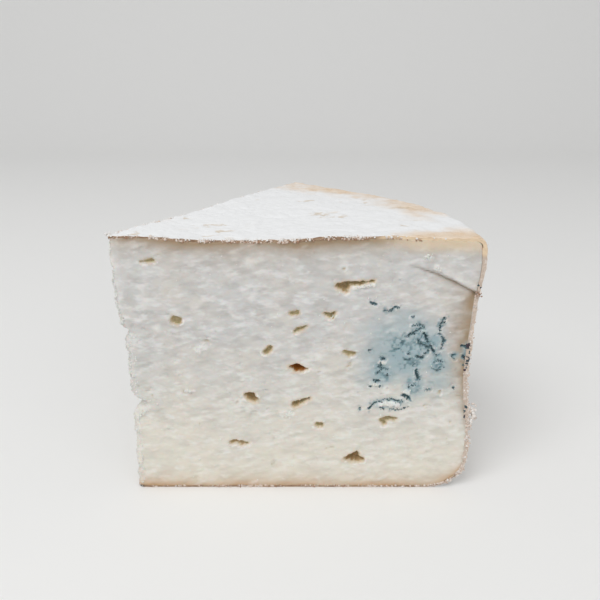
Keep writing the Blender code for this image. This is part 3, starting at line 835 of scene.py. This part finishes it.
def rind_material():
    """A dry natural rind under powdery mould bloom: dead matt white, with soft tan showing through.

    Where the knife cut it, it is brown along the top and the foot, pinkish down the rim, and rubbed pale
    at the upper corner."""
    material, tree, shader, place = new_material("bloomed_natural_rind", 0.9)
    # By size in mm: powder, which is drawn coarser than it is so that it shows, flakes, and patches.
    noises = {}
    for size in (0.5, 1.6, 6.0):
        settings = {"Vector": place, "Scale": 1 / (size * MM), "Detail": 3.0, "Roughness": 0.6}
        noises[size] = add_node(tree, "ShaderNodeTexNoise", settings).outputs["Fac"]
    bloom = layered(tree, "#f2f3f4", [(ragged_mark(tree, None, noises[1.6], 1.0, 0.05, 0.4), "#e6e6e5")])
    tan = layered(tree, "#ead6bf", [
        (ragged_mark(tree, None, noises[6.0], 1.0, -0.1, 0.25), "#e0c4a4"),
        (ragged_mark(tree, None, noises[0.5], 1.0, 0.0, 0.3), "#f0e5d8"),
    ])
    brown_edge = layered(tree, "#a2866e", [
        (ragged_mark(tree, None, noises[1.6], 1.0, -0.05, 0.25), "#856852"),
        (ragged_mark(tree, None, noises[0.5], 1.0, 0.05, 0.25), "#d8c6b4"),
    ])
    pink_edge = layered(tree, "#cab9aa", [
        (ragged_mark(tree, None, noises[1.6], 1.0, -0.05, 0.25), "#ddd3cb"),
        (ragged_mark(tree, None, noises[0.5], 1.0, 0.05, 0.25), "#a08a7c"),
    ])
    edge = layered(tree, brown_edge, [
        (ragged_mark(tree, "rim", noises[1.6], 0.3, 0.1, 0.9), pink_edge),
        (ragged_mark(tree, "rubbed", noises[1.6], 0.4, 0.1, 0.7), "#e2cbad"),
    ])
    colour = layered(tree, bloom, [
        (ragged_mark(tree, "worn", noises[6.0], 0.5, 0.05, 1.0), tan),
        (ragged_mark(tree, "pit", noises[1.6], 0.8, 0.1, 1.6), "#cfbda3"),
        (ragged_mark(tree, "cut", noises[0.5], 0.5, 0.35, 0.75), edge),
    ])
    tree.links.new(colour, shader.inputs["Base Color"])
    powder = {"Strength": 0.5, "Distance": 0.3 * MM, "Height": noises[0.5]}
    tree.links.new(add_node(tree, "ShaderNodeBump", powder).outputs[0], shader.inputs["Normal"])
    return material


rind = closed_skin("rind", *rind_rings())
rind.data.materials.append(rind_material())
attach(rind, "root")


# ---------------------------------------------------------------------------------------------------------
# The crumbs. The wire dragged crumbs of curd and flakes of rind along the cut edges, where they stuck: dry
# and powdery, white with bloom, pinkish or brown. Each is a small closed lump on or just in the surface.
# ---------------------------------------------------------------------------------------------------------


def lumps(name, centres, sizes, tones, seed):
    """One mesh of many small closed lumps, each a twenty-sided ball with its corners pushed about.

    A corner is the centre plus the ball's corner times the lump's size (its radius in mm), a random
    stretch along each axis, and a random push of its own. The tone is a mark that colours the lump."""
    ball = bmesh.new()
    bmesh.ops.create_icosphere(ball, subdivisions=1, radius=1)
    ball.verts.index_update()
    corners = np.array([vertex.co for vertex in ball.verts])
    sides = np.array([[vertex.index for vertex in face.verts] for face in ball.faces])
    ball.free()
    random = np.random.default_rng(seed)
    stretch = random.uniform(0.6, 1.3, (len(centres), 1, 3))
    push = random.uniform(0.7, 1.3, (len(centres), len(corners), 1))
    points = centres[:, None] + corners * stretch * push * sizes[:, None, None]
    faces = sides + len(corners) * np.arange(len(centres))[:, None, None]
    tones = np.repeat(tones, len(corners))
    return mesh_piece(name, points, faces.reshape(-1, 3).tolist(), {"tone": tones})


def gathered(count, low, high, clump, seed):
    """About half of a count of random places from low to high, left where clumps of a size in mm form."""
    random = np.random.default_rng(seed)
    places = random.uniform(low, high, count)
    return places[grain(places, 0, 0, clump, seed) > random.uniform(-0.7, 0.7, count)]


def cut_edges():
    """Crumbs along the rind's cut edges: centres, sizes and tones (0 white, 0.6 pinkish, 1 brown).

    On each cut they follow the top, the rim, its rounded foot and the underside. On the near one there
    are heaps of them too: teeth down the rim, a clot at its waist, snow on the tip, red by the crack."""
    random = np.random.default_rng(200)
    centres, sizes, tones = [], [], []
    for side, seed in (("near", 210), ("far", 220)):
        turn, inwards = CUTS[side]["turn"], CUTS[side]["inwards"]
        over = gathered(2200, 1, 128, 2.5, seed)
        over = over[over < random.uniform(70, 118, over.size)]
        top = top_height(over * math.cos(turn), over * math.sin(turn))
        drop = random.uniform(-0.05, 1.3, over.size)
        height = gathered(700, 9, 101, 2.5, seed + 1)
        height = height[height < random.uniform(20, 110, height.size)]
        rim = rim_radius(height / WHEEL_HEIGHT, turn)
        inset = random.uniform(-0.35, 1.6, height.size)
        bend = gathered(420, 0, math.pi / 2 * 10, 1.2, seed + 2) / 10
        bend_in = random.uniform(-0.2, 1.2, bend.size)
        foot_x = rim_radius(0.05, turn) - FOOT_IN + (FOOT_IN - bend_in) * np.cos(bend)
        foot_z = FOOT_UP - (FOOT_UP - bend_in) * np.sin(bend)
        under = gathered(900, 7, 116, 2.5, seed + 3)
        along = np.concatenate((over, rim - inset, foot_x, under))
        up = np.concatenate((top - drop, height, foot_z, random.uniform(0.15, 1.0, under.size)))
        lift = LEDGE * proud_corner(along, up) if side == "near" else 0 * along
        depth = random.uniform(-0.15, 0.3, along.size) - lift
        x, y = along * math.cos(turn) + inwards[0] * depth, along * math.sin(turn) + inwards[1] * depth
        centres.append(np.stack((x, y, up), axis=1))
        sizes.append(0.14 + 0.42 * random.uniform(0, 1, along.size) ** 2)
        shade = np.concatenate((drop / 1.3, 0.5 + 0 * height, 0.55 + 0 * bend, 0.65 + 0 * under))
        tones.append(np.clip(shade + random.uniform(-0.35, 0.35, along.size), 0, 1))
    teeth = random.uniform((129.4, -0.2, 6), (130.6, 0.6, 60), (60, 3))
    teeth[:, 0] += rim_radius(teeth[:, 2] / WHEEL_HEIGHT, 0.0) - WHEEL_RADIUS
    teeth[:, 0] -= foot_inset(teeth[:, 2], FOOT_UP, FOOT_IN)
    clot = random.normal((132.0, 0.2, 33.0), (0.7, 0.5, 2.0), (34, 3))
    loose = random.normal((132.0, 0.2, 27.0), (0.4, 0.3, 0.5), (7, 3))
    snow = random.normal((0.3, 0.7, 103.3), (0.5, 0.3, 0.3), (16, 3))
    red = random.normal((129.6, -1.0, 82.0), (0.5, 0.3, 0.9), (16, 3))
    for heap, (smallest, largest), (lightest, darkest) in (
        (teeth, (0.25, 0.55), (0.2, 0.7)), (clot, (0.35, 0.85), (0.1, 0.6)), (loose, (0.3, 0.5), (0.2, 0.5)),
        (snow, (0.25, 0.5), (0.0, 0.2)), (red, (0.25, 0.5), (0.8, 1.0)),
    ):
        centres.append(heap)
        sizes.append(random.uniform(smallest, largest, len(heap)))
        tones.append(random.uniform(lightest, darkest, len(heap)))
    return np.concatenate(centres), np.concatenate(sizes), np.concatenate(tones)


def crumb_material():
    """Dry crumbs of rind and curd: matt, white to pinkish, a few of them brown."""
    material, tree, shader, place = new_material("dry_rind_crumbs", 0.92)
    # Spots of 0.6 mm, about the size of a small crumb, so that the larger ones are flecked.
    settings = {"Vector": place, "Scale": 1 / (0.6 * MM), "Detail": 2.0}
    noise = add_node(tree, "ShaderNodeTexNoise", settings).outputs["Fac"]
    colour = layered(tree, "#eae8e5", [
        (ragged_mark(tree, "tone", noise, 0.3, 0.1, 0.6), "#d9c8bb"),
        (ragged_mark(tree, "tone", noise, 0.3, 0.7, 1.0), "#a4816a"),
    ])
    tree.links.new(colour, shader.inputs["Base Color"])
    return material


rind_crumbs = lumps("rind_crumbs", *cut_edges(), 201)
rind_crumbs.data.materials.append(crumb_material())
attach(rind_crumbs, "root")


def along_chain(random, chain, count, spread):
    """Random places along a chain of discs, scattered by a spread times the disc's radius there."""
    ends = np.array(chain if len(chain) > 1 else chain * 2)
    pick = random.integers(0, len(ends) - 1, count)
    spot = ends[pick] + (ends[pick + 1] - ends[pick]) * random.uniform(0, 1, (count, 1))
    spot[:, :2] += random.normal(0, spread, (count, 2)) * spot[:, 2:]
    return spot[:, 0], spot[:, 1]


def curd_crumb_places():
    """Crumbs of curd: along the worn tip, over the faces where the wire dragged, and on the raised flakes."""
    random = np.random.default_rng(230)
    level = gathered(1500, 0.5, 101, 2.0, 231) / WHEEL_HEIGHT
    nose, tangent = worn_tip(level)
    facing = random.uniform(WEDGE_ANGLE + math.pi / 2, 1.5 * math.pi, level.size)
    tip_x, tip_y = tangent + nose * np.cos(facing), nose + nose * np.sin(facing)
    centres = [np.stack((tip_x, tip_y, level * WHEEL_HEIGHT), axis=1)]
    sizes = [random.uniform(0.15, 0.42, level.size)]
    for side, count in (("near", 260), ("far", 200)):
        along, height = random.uniform(3, 124, count), random.uniform(3, 99, count)
        kept = grain(along, height, 0, 7, 233) > random.uniform(-0.8, 0.8, count)
        kept &= height > 3 + 0.9 * np.maximum(along - 112, 0)
        centres.append(on_cut(side, along[kept], height[kept], -0.04))
        sizes.append(random.uniform(0.12, 0.36, kept.sum()))
        for rise, chain in CUTS[side]["flakes"]:
            along, height = along_chain(random, chain, int(30 * rise), 0.5)
            centres.append(on_cut(side, along, height, 0.0))
            sizes.append(random.uniform(0.2, 0.45, along.size))
    sizes = np.concatenate(sizes)
    return np.concatenate(centres), sizes, random.uniform(0, 0.45, sizes.size)


def curd_crumb_material():
    """Crumbs of the same curd, paler than the face because they are dry and loose."""
    material, tree, shader, _ = new_material("loose_curd_crumbs", 0.75, 0.1)
    tone = add_node(tree, "ShaderNodeAttribute", attribute_name="tone").outputs["Fac"]
    colour = layered(tree, "#e8e6e1", [(tone, "#d2cdc2")])
    tree.links.new(colour, shader.inputs["Base Color"])
    return material


curd_crumbs = lumps("curd_crumbs", *curd_crumb_places(), 234)
curd_crumbs.data.materials.append(curd_crumb_material())
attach(curd_crumbs, "root")


# ---------------------------------------------------------------------------------------------------------
# The mould. Blue-green mould grows as soft tufts on the walls of the vein hollows: matt, from nearly black
# green where it is thick to pale turquoise where it is young.
# ---------------------------------------------------------------------------------------------------------


# Tufts on the crust of the near cut's rim: the middle of each clump, its spread and how many.
RIM_TUFTS = (
    ((127.6, 0.35, 61.8), (0.7, 0.1, 0.6), 22), ((128.4, 0.35, 57.0), (0.8, 0.1, 0.8), 30),
    ((127.8, 0.35, 53.2), (0.5, 0.1, 0.9), 8), ((129.3, 0.35, 34.6), (0.25, 0.1, 1.2), 18),
    ((129.3, -0.8, 84.6), (0.4, 0.1, 0.5), 10),
)


def tuft_places():
    """Tufts along each vein of both cuts, more of them in the longer ones, and in clumps by the near rim.

    A tone runs from 1, young and pale, down to 0, and below 0 by the rim, where some are plum."""
    random = np.random.default_rng(240)
    centres, sizes, tones = [], [], []
    for side in CUTS:
        for _, dark, chain in CUTS[side]["veins"]:
            count = 6 + int(4 * math.hypot(chain[-1][0] - chain[0][0], chain[-1][1] - chain[0][1]))
            centres.append(on_cut(side, *along_chain(random, chain, count, 0.6), 0.05))
            sizes.append(random.uniform(0.12, 0.32, count))
            tones.append(np.clip(random.normal(1 - dark, 0.35, count), 0, 1))
    for place, spread, count in RIM_TUFTS:
        clump = random.normal(place, spread, (count, 3))
        clump[:, 0] = np.minimum(clump[:, 0], rim_radius(clump[:, 2] / WHEEL_HEIGHT, 0.0) - 0.3)
        centres.append(clump)
        sizes.append(random.uniform(0.35, 0.75, count))
        tones.append(random.uniform(-0.4, 0.35, count))
    return np.concatenate(centres), np.concatenate(sizes), np.concatenate(tones)


def mould_material():
    """Blue-green mould: velvety and matt, darker where it is thick, and plum where it is oldest."""
    material, tree, shader, _ = new_material("blue_green_mould", 0.95)
    tone = add_node(tree, "ShaderNodeAttribute", attribute_name="tone").outputs["Fac"]
    oldest = {"Value": tone, "From Min": 0.0, "From Max": -0.3}
    plum = add_node(tree, "ShaderNodeMapRange", oldest).outputs[0]
    colour = layered(tree, "#3f5257", [(tone, "#8fa9ad"), (plum, "#4a3f47")])
    tree.links.new(colour, shader.inputs["Base Color"])
    return material


mould_tufts = lumps("mould_tufts", *tuft_places(), 241)
mould_tufts.data.materials.append(mould_material())
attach(mould_tufts, "root")


# ---------------------------------------------------------------------------------------------------------
# The stage: a pale sweep of paper, a large soft lamp overhead in front, and an even sky.
# ---------------------------------------------------------------------------------------------------------


def sweep_mesh():
    """Paper that runs level to the back, bends up over a quarter circle, and rises straight, in metres."""
    front, back, bend, top, half_width = -3.0, 1.0, 0.6, 4.0, 4.0
    angle = np.linspace(0, math.pi / 2, 24)
    along = np.concatenate(([front], back + bend * np.sin(angle), [back + bend]))
    up = np.concatenate(([0.0], bend - bend * np.cos(angle), [top]))
    left = np.stack((np.full(along.size, -half_width), along, up), axis=1)
    right = left * (-1, 1, 1)
    faces = [(i, i + along.size, i + along.size + 1, i + 1) for i in range(along.size - 1)]
    mesh = bpy.data.meshes.new("sweep")
    mesh.from_pydata(np.concatenate((left, right)).tolist(), [], faces)
    mesh.shade_smooth()
    return mesh


sweep = bpy.data.objects.new("sweep", sweep_mesh())
bpy.context.scene.collection.objects.link(sweep)
paper, _, paper_shader, _ = new_material("matt_white_paper", 0.95)
paper_shader.inputs["Base Color"].default_value = linear("#f2f2f1")
sweep.data.materials.append(paper)

world = bpy.data.worlds.new("even_sky")
world.use_nodes = True
sky = world.node_tree.nodes["Background"]
sky.inputs["Color"].default_value = (1, 1, 1, 1)
sky.inputs["Strength"].default_value = 0.55
bpy.context.scene.world = world

def add_lamp(name, offset, size, power):
    """A square white lamp of a size in metres, offset from the wedge's middle and turned towards it.

    The power is in watts."""
    lamp = bpy.data.lights.new(name, "AREA")
    lamp.shape = "SQUARE"
    lamp.size = size
    lamp.energy = power
    stand = bpy.data.objects.new(name, lamp)
    stand.location = (low_corner + high_corner) / 2 + offset
    stand.rotation_euler = (-offset).to_track_quat("-Z", "Y").to_euler()
    bpy.context.scene.collection.objects.link(stand)


add_lamp("key", Vector((-0.5, -0.75, 1.2)), 0.8, 9.5)
add_lamp("fill", Vector((0.7, -1.1, 0.5)), 1.0, 2.0)

# The camera stands in front of the near cut, a little above the wedge, and looks down at 20 degrees.
CAMERA_PLACE = (66.4, -211.9, 156.7)
CAMERA_TILT = math.radians(20)
camera = bpy.data.cameras.new("camera")
camera.lens = 37.9
camera.sensor_width = 36.0
camera.clip_start = 0.01
viewpoint = bpy.data.objects.new("camera", camera)
viewpoint.location = AXIS + np.array(CAMERA_PLACE) * MM
viewpoint.rotation_euler = (math.pi / 2 - CAMERA_TILT, 0, 0)
bpy.context.scene.collection.objects.link(viewpoint)
bpy.context.scene.camera = viewpoint
bpy.context.scene.view_settings.view_transform = "Standard"
